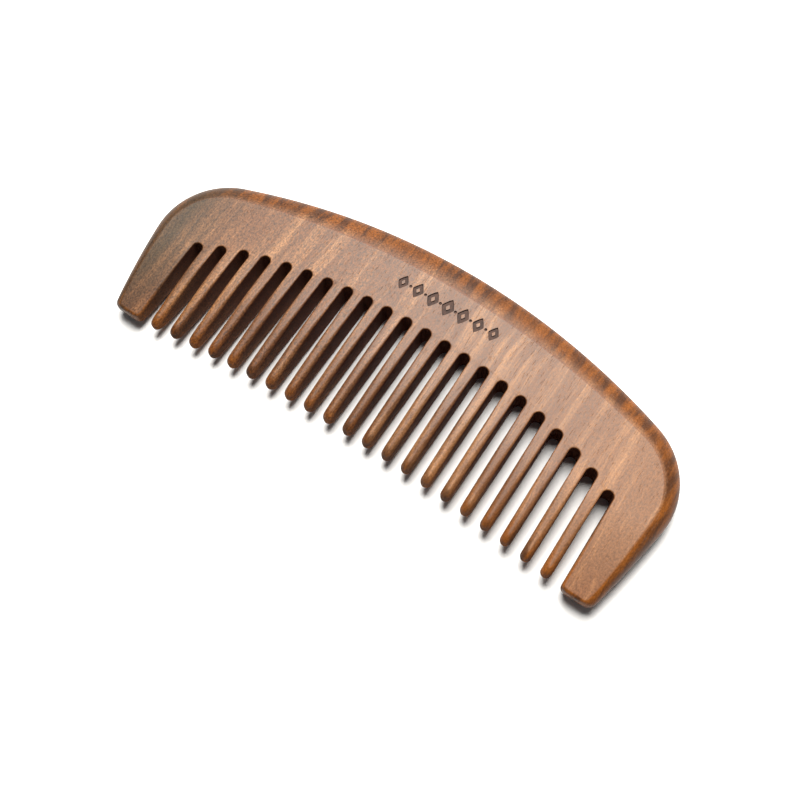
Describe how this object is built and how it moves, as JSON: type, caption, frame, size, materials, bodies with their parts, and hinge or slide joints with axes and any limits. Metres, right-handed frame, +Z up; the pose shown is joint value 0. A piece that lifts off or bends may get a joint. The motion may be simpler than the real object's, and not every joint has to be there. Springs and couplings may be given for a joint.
{
  "type": "beard comb",
  "caption": "Wide-tooth wooden beard comb with a bowed, bevelled back, rounded teeth and broad end guards.",
  "frame": {"origin": "under the middle of the outline, on the flat face that the comb rests on", "axes": "+X along the back, from the left guard to the right guard; +Y from the tooth tips to the crown of the back; +Z up through the thickness"},
  "size_m": [0.131, 0.0496, 0.0068],
  "materials": {
    "back_wood": "oiled satin",
    "guard_wood": "oiled satin",
    "tooth_wood": "oiled satin"
  },
  "bodies": {
    "root": {"back": "back_wood", "guard_left": "guard_wood", "guard_right": "guard_wood", "tooth_01": "tooth_wood", "tooth_02": "tooth_wood", "tooth_03": "tooth_wood", "tooth_04": "tooth_wood", "tooth_05": "tooth_wood", "tooth_06": "tooth_wood", "tooth_07": "tooth_wood", "tooth_08": "tooth_wood", "tooth_09": "tooth_wood", "tooth_10": "tooth_wood", "tooth_11": "tooth_wood", "tooth_12": "tooth_wood", "tooth_13": "tooth_wood", "tooth_14": "tooth_wood", "tooth_15": "tooth_wood", "tooth_16": "tooth_wood", "tooth_17": "tooth_wood", "tooth_18": "tooth_wood", "tooth_19": "tooth_wood", "tooth_20": "tooth_wood", "tooth_21": "tooth_wood"}
  },
  "joints": []
}
